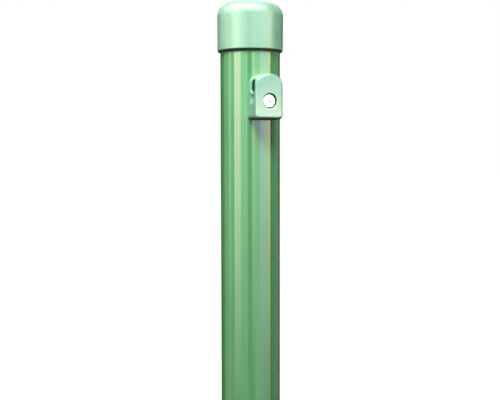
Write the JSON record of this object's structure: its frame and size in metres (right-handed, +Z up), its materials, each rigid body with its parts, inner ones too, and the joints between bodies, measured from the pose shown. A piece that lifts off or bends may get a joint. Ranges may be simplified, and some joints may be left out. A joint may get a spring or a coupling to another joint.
{
  "type": "fence post",
  "caption": "Round coated steel post for chain-link fencing, with a push-on plastic cap and moulded side holders that guide the tension wires.",
  "frame": {"origin": "centre of the tube's foot end, on the tube's axis", "axes": "+Z up the post to the cap, -Y out of the faces of the wire holders, X along the tension wires"},
  "size_m": [0.042, 0.0503, 1.5099],
  "materials": {
    "tube_coating": "glossy green coating over galvanised steel",
    "cap_plastic": "smooth moulded light green plastic",
    "holder_plastic": "smooth moulded light green plastic",
    "zinc_screw": "bright zinc plating"
  },
  "bodies": {
    "root": {"post_tube": "tube_coating", "post_cap": "cap_plastic", "wire_holder_top": "holder_plastic", "wire_holder_middle": "holder_plastic", "wire_holder_bottom": "holder_plastic", "holder_screw_top": "zinc_screw", "holder_screw_middle": "zinc_screw", "holder_screw_bottom": "zinc_screw"}
  },
  "joints": []
}
